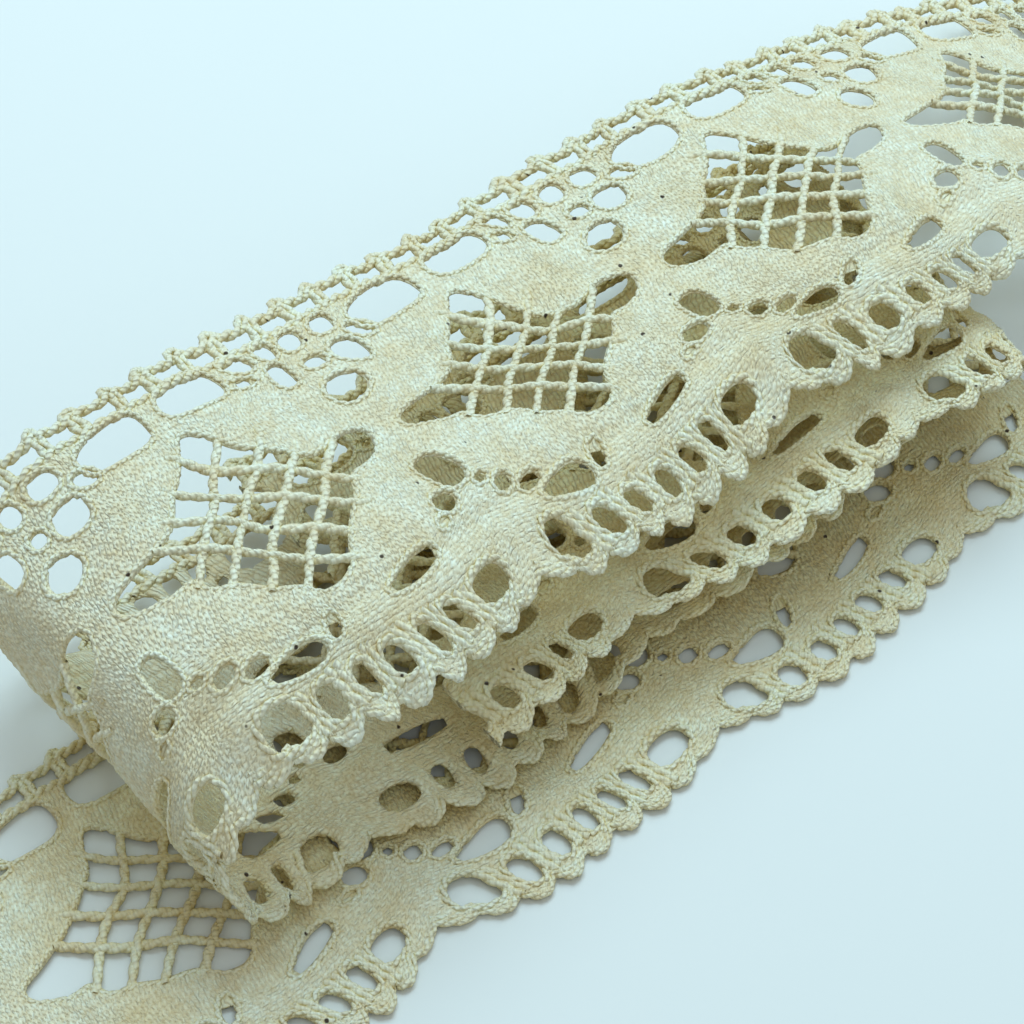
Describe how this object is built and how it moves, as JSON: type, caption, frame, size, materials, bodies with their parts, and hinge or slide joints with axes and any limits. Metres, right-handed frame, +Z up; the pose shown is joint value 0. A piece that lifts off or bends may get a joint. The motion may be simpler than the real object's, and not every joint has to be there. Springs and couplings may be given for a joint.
{
  "type": "lace trim bundle",
  "caption": "Scalloped cotton lace edging folded loosely back on itself into a flat bundle, with a picot edge, net diamonds and a fan border.",
  "frame": {"origin": "on the surface, under the middle of the part's box", "axes": "+X along the trim, towards the loose tail of the top run; +Z up; the scalloped edge faces -Y"},
  "size_m": [0.2322, 0.0632, 0.0304],
  "materials": {
    "ecru_cotton": "undyed cotton yarn, matt"
  },
  "bodies": {
    "root": {"folded_length": "ecru_cotton", "flat_length": "ecru_cotton"}
  },
  "joints": []
}
